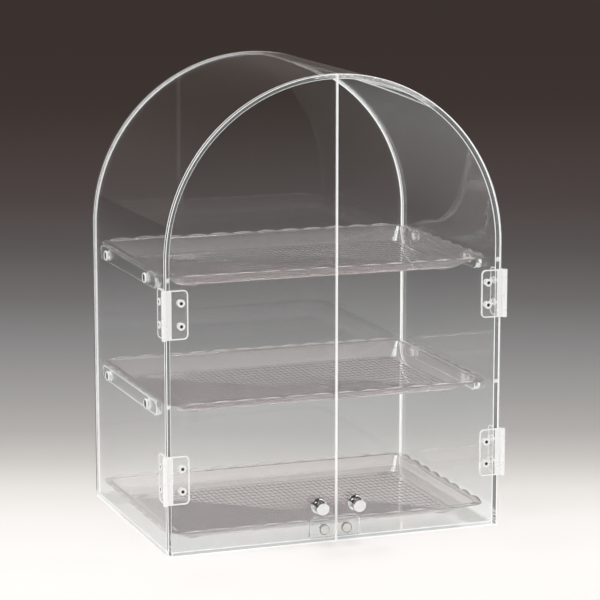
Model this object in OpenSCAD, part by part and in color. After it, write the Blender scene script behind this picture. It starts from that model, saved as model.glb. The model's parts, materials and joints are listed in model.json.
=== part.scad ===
// Countertop display case for bread: a clear arched case with two front doors and three lift-out trays.
// Millimetres, +Z up. The origin is the middle of the footprint, on the surface that the case stands on.
// The doors face -Y, and left and right are as seen by someone who looks at the doors.

/* [Case] */
// Width over the outer faces of the walls
case_w = 342; // [300:1:420]
// Height of the top of the arch
case_h = 455; // [430:1:560]
// Depth from the front face of the doors to the back face
case_d = 249; // [235:1:320]
// Thickness of the bent sheet that makes both walls and the arch
sheet_t = 5; // [4:0.5:6]
// Thickness of the back panel
back_t = 5; // [4:0.5:6]
// Thickness of the base panel
base_t = 5; // [4:0.5:8]

/* [Doors] */
// Thickness of both doors
door_t = 5; // [4:0.5:6]
// Gap between the two doors
door_gap = 1.2; // [0.8:0.1:2]
// Gap below the doors
door_lift = 1; // [0.6:0.1:2]
// Gap between the closed doors and the front edges of the case
door_seat = 0.4; // [0.3:0.1:0.8]

/* [Hinges] */
// Height of a hinge
hinge_h = 47.2; // [40:0.4:56]
// Height of the middle of the upper hinges
upper_hinge_z = 235.4; // [190:1:240]
// Height of the middle of the lower hinges
lower_hinge_z = 76.4; // [60:1:100]
// Reach of a leaf from the corner of the case
leaf_w = 21.4; // [20:0.2:26]
// Thickness of a leaf
leaf_t = 2; // [1.6:0.1:2.2]
// Radius of a leaf's free corners
leaf_corner = 4.6; // [2:0.2:6]
// Diameter of the barrel
barrel_d = 5; // [4.6:0.1:6]
// Diameter of the hinge pin
pin_d = 2.6; // [2:0.1:2.8]
// Running clearance between the pin and its hole, on the radius
pin_clear = 0.06; // [0.03:0.01:0.09]
// Gap between neighbouring knuckles
knuckle_gap = 0.3; // [0.2:0.05:0.5]
// Gap between the barrel and the planes that the leaves lie on
barrel_stand = 0.15; // [0.1:0.05:0.4]
// Gap between one leaf's knuckles and the flat of the other leaf
leaf_clear = 0.4; // [0.3:0.05:0.8]

/* [Rivets] */
// Distance from the corner of the case to a hinge rivet
rivet_in = 14.4; // [13:0.2:16]
// Distance between the two rivets of a leaf
rivet_pitch = 22; // [16:0.5:26]
// Diameter of a rivet's head
rivet_head_d = 7.6; // [6.6:0.2:8.4]
// Thickness of a rivet's head
rivet_head_t = 0.9; // [0.6:0.1:1.2]
// Diameter of a rivet's shank
rivet_d = 4; // [3.4:0.1:4.4]
// Diameter of the hole down a rivet
rivet_bore_d = 2; // [1.6:0.1:2.4]

/* [Knobs] */
// Distance of each knob from the line where the doors meet
knob_x = 19; // [15:0.5:30]
// Height of the knobs
knob_z = 38.6; // [36:0.5:60]
// Diameter of a knob's head
knob_d = 13.4; // [12:0.2:16]
// Diameter of the ring at a knob's foot
knob_ring_d = 15.8; // [14.6:0.2:18]
// Thickness of that ring
knob_ring_t = 1.8; // [1.2:0.2:3]
// How much the waist of a knob is set in from its head, on the radius
knob_waist_in = 1.6; // [1:0.2:2.2]
// Length of that waist
knob_waist_t = 2; // [1.4:0.2:3]
// Distance that a knob stands out from the door
knob_len = 14; // [11:0.5:20]
// Diameter of the screw that holds a knob
screw_d = 4; // [3:0.5:5]
// Diameter of that screw's head
screw_head_d = 8; // [7:0.2:9]
// Thickness of that screw's head
screw_head_t = 2.4; // [2:0.2:3]

/* [Catch] */
// Width of the catch plate
catch_w = 51.6; // [44:0.4:60]
// Height of the catch plate above the base panel
catch_h = 20.7; // [18:0.5:24]
// Thickness of the catch plate
catch_t = 5; // [4:0.5:5.5]
// Radius of the catch plate's upper corners
catch_corner = 8; // [4:0.5:10]
// Distance of each catch disc from the line where the doors meet
disc_x = 11.5; // [8:0.5:14]
// Height of the catch discs
disc_z = 13.2; // [12:0.2:15]
// Diameter of the catch discs
disc_d = 10; // [8:0.5:11]
// Thickness of a magnet in the catch plate
magnet_t = 3; // [2:0.2:3.4]
// Thickness of a strike disc in a door
strike_t = 2; // [1.4:0.2:3]

/* [Rails] */
// Height of the top edge of the upper rails
upper_rail_z = 267.5; // [250:0.5:275]
// Height of the top edge of the lower rails
lower_rail_z = 144.5; // [130:0.5:160]
// Height of a rail's section
rail_h = 14; // [12:0.5:18]
// Thickness of a rail
rail_t = 6; // [5:0.5:7]
// Distance from the front face of the doors to the front end of a rail
rail_front = 37.5; // [30:0.5:45]
// Distance from the back panel to the rear end of a rail
rail_rear = 18.5; // [14:0.5:40]

/* [Rail pegs] */
// Distance from a rail's end to its nearer peg
peg_in = 28; // [20:1:40]
// Diameter of a peg's two flanges
peg_flange_d = 10; // [8.4:0.2:11]
// Thickness of a peg's flanges
peg_flange_t = 1.8; // [1.2:0.1:2.2]
// Diameter of a peg's neck
peg_d = 6.4; // [5:0.2:7]
// Diameter of the hole down a peg
peg_bore_d = 3.4; // [2.4:0.2:4]

/* [Trays] */
// Gap between a tray's rim and each wall
tray_side_gap = 2; // [1.5:0.1:3]
// Gap between the doors and the front of a tray's rim
tray_front_gap = 7.5; // [7:0.5:10]
// Gap between the back panel and the rear of a tray's rim
tray_rear_gap = 1.5; // [1:0.1:8]
// Height of a tray from its feet to the top of its rim
tray_h = 17.2; // [15:0.2:24]
// Thickness of a tray's rim
rim_t = 2.5; // [2:0.1:3]
// Width of a tray's flat rim
rim_w = 6; // [5.6:0.1:8]
// Thickness of a tray's walls and floor
tray_t = 2.4; // [1.8:0.1:3]
// Height of a tray's feet
foot_h = 2; // [1.5:0.1:3]
// How far the side walls of a tray lean in
side_lean = 12; // [6:0.5:16]
// How far the front and rear walls of a tray lean in
end_lean = 24; // [12:0.5:28]
// Depth of the scallops along a tray's rim
scallop = 1.6; // [0.6:0.1:2]
// Distance between scallops, about
scallop_pitch = 25; // [18:1:40]

/* [Hidden] */
$fn = 96;
radius = case_w / 2;
spring_z = case_h - radius;
inner_w = case_w - 2 * sheet_t;
front_y = -case_d / 2;
back_y = case_d / 2;
case_front_y = front_y + door_t + door_seat;
case_rear_y = back_y - back_t;
cut = 1;

barrel_r = barrel_d / 2;
axis_off = barrel_r + barrel_stand;
axis_x = radius + axis_off;
axis_y = front_y - axis_off;
root_start = barrel_r + leaf_clear;
knuckle_shares = [0.161, 0.39, 0.3135, 0.1355];
hinge_heights = [upper_hinge_z, lower_hinge_z];
rivet_clear = 0.1;
rivet_tail_d = rivet_head_d - 1.2;

screw_clear = 0.2;
screw_grip = 8;
tip_clear = 0.5;
disc_clear = 0.1;
catch_y = case_front_y;
strike_y = front_y + door_t - strike_t;

rail_x = inner_w / 2 - rail_t;
peg_clear = 0.1;
peg_recess = 0.4;
peg_sink = peg_flange_t + peg_recess;
rail_len = case_d - back_t - rail_front - rail_rear;
peg_ys = [rail_front + peg_in, rail_front + rail_len - peg_in];

tray_w = inner_w - 2 * tray_side_gap;
tray_front = door_t + tray_front_gap;
tray_d = case_d - back_t - tray_front - tray_rear_gap;
tray_y = front_y + tray_front + tray_d / 2;
well_draft = 1;
tray_corner = 10;
well_w = tray_w - 2 * scallop - 2 * rim_w;
well_d = tray_d - 2 * scallop - 2 * rim_w;
floor_w = well_w - 2 * side_lean;
floor_d = well_d - 2 * end_lean;
foot_len = 11;
foot_w = 5;
foot_in = 14;
scallop_steps = 8;

// An arch in the XZ plane, drawn flat: straight sides up to the spring line, then half a circle
module arch_flat(r, low) {
  translate([-r, low]) square([2 * r, spring_z - low]);
  intersection() {
    translate([0, spring_z]) circle(r, $fn = 240);
    translate([-r - cut, spring_z]) square([2 * r + 2 * cut, r + cut]);
  }
}

// Stands a flat outline up in the XZ plane, from y_start backwards
module upright(y_start, depth) {
  translate([0, y_start + depth, 0]) rotate([90, 0, 0]) linear_extrude(depth) children();
}

// A round bar along Y
module bar_y(d, y_start, depth) {
  translate([0, y_start, 0]) rotate([-90, 0, 0]) cylinder(d = d, h = depth);
}

// A round bar along X
module bar_x(d, x_start, depth) {
  translate([x_start, 0, 0]) rotate([0, 90, 0]) cylinder(d = d, h = depth);
}

// side is -1 on the left and 1 on the right
module to_side(side) {
  if (side < 0) mirror([1, 0, 0]) children();
  else children();
}

// Places children at each rail peg, on the right, with X across the wall
module at_pegs(rail_top) {
  for (y = peg_ys) translate([0, front_y + y, rail_top - rail_h / 2]) children();
}

// Places children at the two rivets of one leaf, up and down
module at_rivet_heights(middle_z) {
  for (dz = [-1, 1]) translate([0, 0, middle_z + dz * rivet_pitch / 2]) children();
}

// Walls and arch, bent from one sheet
module wrapper_shell() {
  color("lightcyan", 0.35) difference() {
    upright(case_front_y, case_rear_y - case_front_y) difference() {
      arch_flat(radius, 0);
      arch_flat(radius - sheet_t, -cut);
    }
    for (side = [-1, 1]) to_side(side) {
      for (rail_top = [upper_rail_z, lower_rail_z]) at_pegs(rail_top)
        bar_x(peg_d + 2 * peg_clear, radius - sheet_t - cut, sheet_t + 2 * cut);
      for (z = hinge_heights) at_rivet_heights(z)
        translate([0, front_y + rivet_in, 0])
          bar_x(rivet_d + 2 * rivet_clear, radius - sheet_t - cut, sheet_t + 2 * cut);
    }
  }
}

module back_panel() {
  color("lightcyan", 0.35) upright(case_rear_y, back_t) arch_flat(radius, 0);
}

module base_panel() {
  color("lightcyan", 0.35) translate([-inner_w / 2, case_front_y, 0])
    cube([inner_w, case_rear_y - case_front_y, base_t]);
}

// One door, on the right, with holes for its hinges and its knob and a pocket for its strike disc
module door() {
  color("lightcyan", 0.35) difference() {
    upright(front_y, door_t) intersection() {
      arch_flat(radius, door_lift);
      translate([door_gap / 2, 0]) square([radius + cut, case_h + cut]);
    }
    for (z = hinge_heights) at_rivet_heights(z)
      translate([radius - rivet_in, 0, 0])
        bar_y(rivet_d + 2 * rivet_clear, front_y - cut, door_t + 2 * cut);
    translate([knob_x, 0, knob_z]) bar_y(screw_d + 2 * screw_clear, front_y - cut, door_t + 2 * cut);
    translate([disc_x, 0, disc_z]) bar_y(disc_d + 2 * disc_clear, strike_y, strike_t + cut);
  }
}
module left_door() { to_side(-1) door(); }
module right_door() { to_side(1) door(); }

// Height of the top of knuckle i, measured down from the top of the hinge
function knuckle_top(i) = i == 0 ? 0 : knuckle_top(i - 1) + knuckle_shares[i - 1] * hinge_h;

// The flat of a leaf in the XZ plane, measured from the pin's axis
module leaf_flat() {
  reach = leaf_w + axis_off;
  difference() {
    union() {
      translate([root_start, -hinge_h / 2]) square([reach - leaf_corner - root_start, hinge_h]);
      translate([root_start, -hinge_h / 2 + leaf_corner])
        square([reach - root_start, hinge_h - 2 * leaf_corner]);
      for (dz = [-1, 1]) translate([reach - leaf_corner, dz * (hinge_h / 2 - leaf_corner)]) circle(leaf_corner);
    }
    for (dz = [-1, 1]) translate([rivet_in + axis_off, dz * rivet_pitch / 2]) circle(d = rivet_d + 2 * rivet_clear);
  }
}

// One leaf about a pin on the Z axis, lying along +X with its back at y = axis_off.
// first is 0 for the leaf that holds the top knuckle and 1 for the other
module leaf(first) {
  difference() {
    union() {
      translate([0, axis_off, 0]) rotate([90, 0, 0]) linear_extrude(leaf_t) leaf_flat();
      for (i = [first, first + 2]) {
        low = i == 3 ? 0 : knuckle_gap / 2;
        high = i == 0 ? 0 : knuckle_gap / 2;
        tall = knuckle_shares[i] * hinge_h - low - high;
        translate([0, 0, hinge_h / 2 - knuckle_top(i) - high - tall]) {
          cylinder(d = barrel_d, h = tall);
          translate([0, axis_off - leaf_t, 0]) cube([root_start + cut, leaf_t, tall]);
        }
      }
    }
    translate([0, 0, -hinge_h]) cylinder(d = pin_d + 2 * pin_clear, h = 2 * hinge_h);
  }
}

// Moves a hinge part that is drawn about its own pin to the corner of the case
module at_hinge(side, z) {
  scale_x = side < 0 ? 0 : 1;
  mirror([scale_x, 0, 0]) translate([-axis_x, axis_y, z]) children();
}
module door_leaf(side, z) { color("azure", 0.6) at_hinge(side, z) leaf(1); }
module wall_leaf(side, z) { color("azure", 0.6) at_hinge(side, z) mirror([1, -1, 0]) leaf(0); }
module hinge_pin(side, z) {
  color("whitesmoke") at_hinge(side, z) translate([0, 0, -hinge_h / 2]) cylinder(d = pin_d, h = hinge_h);
}
module left_upper_wall_leaf() { wall_leaf(-1, upper_hinge_z); }
module left_lower_wall_leaf() { wall_leaf(-1, lower_hinge_z); }
module right_upper_wall_leaf() { wall_leaf(1, upper_hinge_z); }
module right_lower_wall_leaf() { wall_leaf(1, lower_hinge_z); }
module left_upper_door_leaf() { door_leaf(-1, upper_hinge_z); }
module left_lower_door_leaf() { door_leaf(-1, lower_hinge_z); }
module right_upper_door_leaf() { door_leaf(1, upper_hinge_z); }
module right_lower_door_leaf() { door_leaf(1, lower_hinge_z); }
module left_upper_hinge_pin() { hinge_pin(-1, upper_hinge_z); }
module left_lower_hinge_pin() { hinge_pin(-1, lower_hinge_z); }
module right_upper_hinge_pin() { hinge_pin(1, upper_hinge_z); }
module right_lower_hinge_pin() { hinge_pin(1, lower_hinge_z); }

// A hollow rivet along +Z: its head is below z = 0 and its tail closes over a stack of the given thickness
module rivet(stack) {
  difference() {
    union() {
      translate([0, 0, -rivet_head_t]) cylinder(d = rivet_head_d, h = rivet_head_t);
      cylinder(d = rivet_d, h = stack);
      translate([0, 0, stack]) cylinder(d = rivet_tail_d, h = rivet_head_t);
    }
    translate([0, 0, -cut - rivet_head_t]) cylinder(d = rivet_bore_d, h = stack + 2 * rivet_head_t + 2 * cut);
  }
}
module wall_leaf_rivets() {
  color("white") for (side = [-1, 1], z = hinge_heights) to_side(side) at_rivet_heights(z)
    translate([radius + leaf_t, front_y + rivet_in, 0]) rotate([0, -90, 0]) rivet(leaf_t + sheet_t);
}
module door_leaf_rivets() {
  color("white") for (z = hinge_heights) at_rivet_heights(z)
    translate([radius - rivet_in, front_y - leaf_t, 0]) rotate([-90, 0, 0]) rivet(leaf_t + door_t);
}
module left_door_leaf_rivets() { to_side(-1) door_leaf_rivets(); }
module right_door_leaf_rivets() { to_side(1) door_leaf_rivets(); }

// A turned knob: foot ring, waist and head with a broken edge, drilled for its screw
module knob() {
  r = knob_d / 2;
  ring = knob_ring_d / 2;
  edge = 0.8;
  ring_edge = 0.4;
  waist_r = r - knob_waist_in;
  waist_end = knob_ring_t + knob_waist_t;
  color("silver") translate([knob_x, front_y, knob_z]) rotate([90, 0, 0]) difference() {
    rotate_extrude() polygon([
      [0, 0], [ring, 0], [ring, knob_ring_t - ring_edge], [ring - ring_edge, knob_ring_t], [waist_r, knob_ring_t],
      [waist_r, waist_end], [r, waist_end + edge], [r, knob_len - edge], [r - edge, knob_len], [0, knob_len]
    ]);
    translate([0, 0, -cut]) cylinder(d = screw_d + 2 * disc_clear, h = screw_grip + cut + tip_clear);
  }
}
module left_knob() { to_side(-1) knob(); }
module right_knob() { to_side(1) knob(); }

// The screw runs from inside the door into the knob
module knob_screw() {
  shank = door_t + screw_grip;
  slot_w = 1.2;
  slot_deep = 1.1;
  color("gainsboro") translate([knob_x, front_y + door_t, knob_z]) rotate([90, 0, 0]) difference() {
    union() {
      translate([0, 0, -screw_head_t]) cylinder(d = screw_head_d, h = screw_head_t);
      cylinder(d = screw_d, h = shank);
    }
    translate([-screw_head_d, -slot_w / 2, -screw_head_t - cut]) cube([2 * screw_head_d, slot_w, slot_deep + cut]);
  }
}
module left_knob_screw() { to_side(-1) knob_screw(); }
module right_knob_screw() { to_side(1) knob_screw(); }

// Upright plate behind the doors that stops them and holds the magnets
module catch_plate() {
  half = catch_w / 2;
  color("azure", 0.6) difference() {
    upright(catch_y, catch_t) translate([0, base_t]) union() {
      translate([-half, 0]) square([catch_w, catch_h - catch_corner]);
      translate([-half + catch_corner, 0]) square([catch_w - 2 * catch_corner, catch_h]);
      for (side = [-1, 1]) translate([side * (half - catch_corner), catch_h - catch_corner]) circle(catch_corner);
    }
    for (side = [-1, 1]) translate([side * disc_x, 0, disc_z])
      bar_y(disc_d + 2 * disc_clear, catch_y - cut, magnet_t + cut);
  }
}
module catch_magnets() {
  color("silver") for (side = [-1, 1]) translate([side * disc_x, 0, disc_z]) bar_y(disc_d, catch_y, magnet_t);
}
module strike_disc() {
  color("silver") translate([disc_x, 0, disc_z]) bar_y(disc_d, strike_y, strike_t);
}
module left_strike_disc() { to_side(-1) strike_disc(); }
module right_strike_disc() { to_side(1) strike_disc(); }

// A round-ended bar along the wall, drilled for its pegs and sunk for their inner flanges
module rail(rail_top) {
  low = rail_top - rail_h;
  color("azure", 0.6) difference() {
    union() {
      translate([rail_x, front_y + rail_front + rail_h / 2, low]) cube([rail_t, rail_len - rail_h, rail_h]);
      for (y = [rail_front + rail_h / 2, rail_front + rail_len - rail_h / 2])
        translate([0, front_y + y, low + rail_h / 2]) bar_x(rail_h, rail_x, rail_t);
    }
    at_pegs(rail_top) {
      bar_x(peg_d + 2 * peg_clear, rail_x - cut, rail_t + 2 * cut);
      bar_x(peg_flange_d + 2 * peg_clear, rail_x - cut, peg_sink + cut);
    }
  }
}
module left_upper_rail() { to_side(-1) rail(upper_rail_z); }
module right_upper_rail() { to_side(1) rail(upper_rail_z); }
module left_lower_rail() { to_side(-1) rail(lower_rail_z); }
module right_lower_rail() { to_side(1) rail(lower_rail_z); }

// Two hollow spools that clamp a rail to the wall
module rail_pegs(rail_top) {
  inner_x = rail_x + peg_sink;
  color("white") at_pegs(rail_top) difference() {
    union() {
      bar_x(peg_flange_d, inner_x - peg_flange_t, peg_flange_t);
      bar_x(peg_d, inner_x, radius - inner_x);
      bar_x(peg_flange_d, radius, peg_flange_t);
    }
    bar_x(peg_bore_d, inner_x - peg_flange_t - cut, radius - inner_x + 2 * peg_flange_t + 2 * cut);
  }
}
module left_upper_rail_pegs() { to_side(-1) rail_pegs(upper_rail_z); }
module right_upper_rail_pegs() { to_side(1) rail_pegs(upper_rail_z); }
module left_lower_rail_pegs() { to_side(-1) rail_pegs(lower_rail_z); }
module right_lower_rail_pegs() { to_side(1) rail_pegs(lower_rail_z); }

// Points along one scalloped edge, from x = 0 to x = run, with the waves standing out towards -Y
function wave_edge(run) =
  let (count = round(run / scallop_pitch))
  [for (i = [0 : count * scallop_steps - 1])
    [run * i / (count * scallop_steps), -scallop * abs(sin(180 * i / scallop_steps))]];

function turned(points, angle) =
  [for (p = points) [p[0] * cos(angle) - p[1] * sin(angle), p[0] * sin(angle) + p[1] * cos(angle)]];
function moved(points, at) = [for (p = points) p + at];

// Quarter of a rounded corner about the origin, starting at the angle start
function corner(start) = [for (i = [0 : 8]) tray_corner * [cos(start + i * 11.25), sin(start + i * 11.25)]];

// Outline of the rim: four scalloped edges joined by round corners
function rim_points() =
  let (
    hx = tray_w / 2 - scallop - tray_corner,
    hy = tray_d / 2 - scallop - tray_corner,
    out_x = hx + tray_corner,
    out_y = hy + tray_corner
  )
  concat(
    moved(wave_edge(2 * hx), [-hx, -out_y]), moved(corner(270), [hx, -hy]),
    moved(turned(wave_edge(2 * hy), 90), [out_x, -hy]), moved(corner(0), [hx, hy]),
    moved(turned(wave_edge(2 * hx), 180), [hx, out_y]), moved(corner(90), [-hx, hy]),
    moved(turned(wave_edge(2 * hy), 270), [-out_x, hy]), moved(corner(180), [-hx, -hy])
  );

// Thin rounded rectangle for the hulls of a tray's well
module well_slab(w, d, r, z) {
  translate([0, 0, z]) linear_extrude(0.01)
    for (sx = [-1, 1], sy = [-1, 1]) translate([sx * (w / 2 - r), sy * (d / 2 - r)]) circle(r, $fn = 32);
}

// A tray drawn with its feet at z = 0
module tray() {
  wall_in = 2 * tray_t;
  color("lavender", 0.6) union() {
    difference() {
      union() {
        translate([0, 0, tray_h - rim_t]) linear_extrude(rim_t) polygon(rim_points());
        hull() {
          well_slab(well_w, well_d, tray_corner, tray_h - rim_t);
          well_slab(floor_w, floor_d, tray_corner, foot_h);
        }
      }
      hull() {
        well_slab(well_w - wall_in + 2 * well_draft, well_d - wall_in + 2 * well_draft, tray_corner, tray_h + cut);
        well_slab(floor_w - wall_in, floor_d - wall_in, tray_corner, foot_h + tray_t);
      }
    }
    for (sx = [-1, 1], sy = [-1, 1])
      translate([sx * (floor_w / 2 - foot_in) - foot_len / 2, sy * (floor_d / 2 - foot_w - 1) - foot_w / 2, 0])
        cube([foot_len, foot_w, foot_h + tray_t / 2]);
  }
}
module top_tray() { translate([0, tray_y, upper_rail_z + rim_t - tray_h]) tray(); }
module middle_tray() { translate([0, tray_y, lower_rail_z + rim_t - tray_h]) tray(); }
module bottom_tray() { translate([0, tray_y, base_t]) tray(); }

wrapper_shell();
back_panel();
base_panel();
left_door();
right_door();
left_upper_wall_leaf();
left_lower_wall_leaf();
right_upper_wall_leaf();
right_lower_wall_leaf();
left_upper_door_leaf();
left_lower_door_leaf();
right_upper_door_leaf();
right_lower_door_leaf();
left_upper_hinge_pin();
left_lower_hinge_pin();
right_upper_hinge_pin();
right_lower_hinge_pin();
wall_leaf_rivets();
left_door_leaf_rivets();
right_door_leaf_rivets();
left_knob();
right_knob();
left_knob_screw();
right_knob_screw();
catch_plate();
catch_magnets();
left_strike_disc();
right_strike_disc();
left_upper_rail();
right_upper_rail();
left_lower_rail();
right_lower_rail();
left_upper_rail_pegs();
right_upper_rail_pegs();
left_lower_rail_pegs();
right_lower_rail_pegs();
top_tray();
middle_tray();
bottom_tray();
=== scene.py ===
# %% [markdown]
# # A clear display case for bread
# The real thing is a counter-top case made of clear acrylic sheet. One sheet is bent over into
# both walls and a round top, an arched panel closes the back, and two doors meet in the middle.
# Three moulded trays stand in it. The fixed model comes first, and every piece is fitted to it.

# %% Load the fixed model
import json
import math

import bmesh
import bpy
from mathutils import Matrix, Vector

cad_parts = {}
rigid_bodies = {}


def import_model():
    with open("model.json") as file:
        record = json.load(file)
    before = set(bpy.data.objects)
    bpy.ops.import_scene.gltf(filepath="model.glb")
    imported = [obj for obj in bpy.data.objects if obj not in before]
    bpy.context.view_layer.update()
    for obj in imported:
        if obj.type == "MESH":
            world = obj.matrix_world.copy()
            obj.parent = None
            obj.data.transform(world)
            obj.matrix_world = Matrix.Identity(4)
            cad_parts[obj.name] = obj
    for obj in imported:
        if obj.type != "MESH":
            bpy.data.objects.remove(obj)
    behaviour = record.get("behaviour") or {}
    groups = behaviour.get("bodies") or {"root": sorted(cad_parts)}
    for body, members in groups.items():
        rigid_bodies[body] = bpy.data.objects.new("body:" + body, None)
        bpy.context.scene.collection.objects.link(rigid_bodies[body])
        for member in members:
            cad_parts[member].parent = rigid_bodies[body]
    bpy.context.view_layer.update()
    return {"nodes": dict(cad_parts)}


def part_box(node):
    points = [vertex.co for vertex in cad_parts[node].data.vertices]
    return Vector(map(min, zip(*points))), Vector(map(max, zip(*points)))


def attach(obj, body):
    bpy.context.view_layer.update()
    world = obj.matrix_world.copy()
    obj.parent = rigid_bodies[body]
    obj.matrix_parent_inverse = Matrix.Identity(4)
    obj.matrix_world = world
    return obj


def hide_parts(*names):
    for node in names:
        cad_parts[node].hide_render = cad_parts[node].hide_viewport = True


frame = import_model()
MM = 0.001
X, Y, Z = 0, 1, 2
SIDES, LEVELS = ("left", "right"), ("upper", "lower")

# %% [markdown]
# ## Helpers for objects
# Every camera, lamp and mesh needs an object that holds it, and the object has to be in the scene
# to be seen. Many meshes are first built loosely, as a bmesh, and then closed into a real one.

# %% Objects and meshes
scene = bpy.context.scene


def new_object(name, data):
    """Puts an object that holds a camera, a lamp or a mesh in the scene."""
    made = bpy.data.objects.new(name, data)
    scene.collection.objects.link(made)
    return made


def closed_mesh(bm, name, finishes):
    """Turns a bmesh into a mesh with its materials, and frees the bmesh."""
    mesh = bpy.data.meshes.new(name)
    bm.to_mesh(mesh)
    bm.free()
    for material in finishes:
        mesh.materials.append(material)
    return mesh


print("scene", scene.name, "has", len(scene.collection.all_objects), "objects")

# %% [markdown]
# ## Camera
# The case was seen from its left front, a little above its top tray, through a long lens. The
# place and the lens were worked out from the corners of the doors and of the back panel.

# %% Place the camera
CAMERA_PLACE = (-0.8848, -2.4284, 0.7059)
CAMERA_LOOK = (0.3390, 0.9222, -0.1858)
LENS_MM = 158.1
SENSOR_MM = 36
camera_data = bpy.data.cameras.new("camera")
camera_data.lens = LENS_MM
camera_data.sensor_width = SENSOR_MM
camera_data.clip_end = 50
camera = new_object("camera", camera_data)
camera.location = CAMERA_PLACE
camera.rotation_euler = Vector(CAMERA_LOOK).to_track_quat("-Z", "Y").to_euler()
scene.camera = camera
print("camera at", tuple(round(v, 3) for v in camera.location))

# %% [markdown]
# ## Helpers for node trees
# Colours are written as sRGB hex, as a paint chart gives them, and turned to linear light in one
# place. One function adds any node, sets it up and links it, so a material reads as a list of
# what feeds what.

# %% Colours and nodes
def linear(hex_code):
    """Four linear values from an sRGB code such as #ffffff."""
    shares = [int(hex_code[i:i + 2], 16) / 255 for i in (1, 3, 5)]
    light = [v / 12.92 if v <= 0.04045 else ((v + 0.055) / 1.055) ** 2.4 for v in shares]
    return (*light, 1.0)


def add(tree, kind, inputs=None, stops=(), **settings):
    """Adds a node, sets its options, and fills or links its inputs. A node as an input stands for its
    first output, and a list of nodes for all of theirs. stops are a colour ramp's (position, hex
    colour) pairs."""
    node = tree.nodes.new(kind)
    for name, value in settings.items():
        setattr(node, name, value)
    for name, given in (inputs or {}).items():
        for value in given if isinstance(given, list) else [given]:
            if isinstance(value, bpy.types.Node):
                value = value.outputs[0]
            if isinstance(value, bpy.types.NodeSocket):
                tree.links.new(value, node.inputs[name])
            else:
                node.inputs[name].default_value = value
    while stops and len(node.color_ramp.elements) < len(stops):
        node.color_ramp.elements.new(1.0)
    for i, (position, colour) in enumerate(stops):
        node.color_ramp.elements[i].position = position
        node.color_ramp.elements[i].color = linear(colour)
    return node


def new_tree(block):
    """Empties the node tree of a material or a world and returns it."""
    block.use_nodes = True
    block.node_tree.nodes.clear()
    return block.node_tree


print("a mid grey is", linear("#808080"))

# %% [markdown]
# ## Studio
# Clear plastic shows mostly what is around it, so the surroundings matter as much as the case.
# The room is a sweep that is white under the case and warm dark grey higher up. It is seen
# directly and through the sheets. What they mirror is a little lighter towards the horizon, where
# the far walls of the room catch the lamps, and rough surfaces get an even, pale light.

# %% World
ROOM_LOW, ROOM_HIGH = -0.1, 0.5
ROOM_SEEN = [(0.0, "#3b302b"), (1.0, "#322824")]
ROOM_MIRRORED = [(0.0, "#655d5a"), (0.5, "#6b6461"), (1.0, "#352b27")]
EVEN_STRENGTH = 0.7
world = bpy.data.worlds.new("studio")
scene.world = world
tree = new_tree(world)
toward = add(tree, "ShaderNodeTexCoord").outputs["Generated"]
axes = add(tree, "ShaderNodeSeparateXYZ", {"Vector": toward})
height = add(tree, "ShaderNodeMapRange", {
    "Value": axes.outputs["Z"], "From Min": ROOM_LOW, "From Max": ROOM_HIGH})
seen = add(tree, "ShaderNodeBackground", {
    "Color": add(tree, "ShaderNodeValToRGB", {"Fac": height}, ROOM_SEEN)})
mirrored = add(tree, "ShaderNodeBackground", {
    "Color": add(tree, "ShaderNodeValToRGB", {"Fac": height}, ROOM_MIRRORED)})
even = add(tree, "ShaderNodeBackground", {"Color": linear("#fbfaf8"), "Strength": EVEN_STRENGTH})
rays = add(tree, "ShaderNodeLightPath").outputs
direct = add(tree, "ShaderNodeMath", {0: rays["Is Camera Ray"], 1: rays["Is Transmission Ray"]},
             operation="MAXIMUM")
not_seen = add(tree, "ShaderNodeMixShader", {0: rays["Is Glossy Ray"], 1: even, 2: mirrored})
room = add(tree, "ShaderNodeMixShader", {0: direct, 1: not_seen, 2: seen})
add(tree, "ShaderNodeOutputWorld", {"Surface": room})
print("world nodes", len(tree.nodes))

# %% [markdown]
# The table is one wide sheet of paper, white where the case stands and darker in front of it and
# behind. That darkening is painted shade: the fall-off of the studio light, put into the paper's
# colour. Its shade runs along one direction of the table, so it stays put from any side.
# The real paper's grain is far too fine to show, so it is drawn about 5 mm coarse.

# %% Graded table
FLOOR_RADIUS = 9.0
FLOOR_DROP_MM = 0.4
GRADE_START, GRADE_END = -0.15, 5.4
GRADE_FRONT = -0.35
GRADE_ANGLE = math.radians(-69.8)
# These stops paint the fall-off of the studio light into the table's colour: white under the case,
# darker away from it.
GRADE = [(0.0, "#f4f2f0"), (0.022, "#efecea"), (0.043, "#e0dcd9"), (0.066, "#c2bebb"),
         (0.09, "#aaa6a5"), (0.118, "#9b9997"), (0.171, "#868485"), (0.235, "#6d6a6b"),
         (0.312, "#5c5858"), (0.41, "#564c4b"), (0.535, "#554946"), (0.7, "#4d403b"),
         (1.0, "#4c3e38")]
PAPER_GRAIN_MM, PAPER_DEPTH_MM = 5.56, 0.05
floor_material = bpy.data.materials.new("table_with_painted_light_falloff")
tree = new_tree(floor_material)
place = add(tree, "ShaderNodeTexCoord").outputs["Object"]
turned = add(tree, "ShaderNodeMapping", {"Vector": place, "Rotation": (0, 0, GRADE_ANGLE)})
along = add(tree, "ShaderNodeSeparateXYZ", {"Vector": turned})
from_front = add(tree, "ShaderNodeMath", {0: along.outputs["X"], 1: GRADE_FRONT},
                 operation="SUBTRACT")
either_way = add(tree, "ShaderNodeMath", {0: from_front}, operation="ABSOLUTE")
grade = add(tree, "ShaderNodeMapRange", {
    "Value": either_way, "From Min": GRADE_START - GRADE_FRONT,
    "From Max": GRADE_END - GRADE_FRONT})
speckle = add(tree, "ShaderNodeTexNoise", {
    "Vector": place, "Scale": 1 / (PAPER_GRAIN_MM * MM), "Detail": 3.0})
grain = add(tree, "ShaderNodeBump", {"Distance": PAPER_DEPTH_MM * MM, "Height": speckle.outputs["Fac"]})
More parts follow.
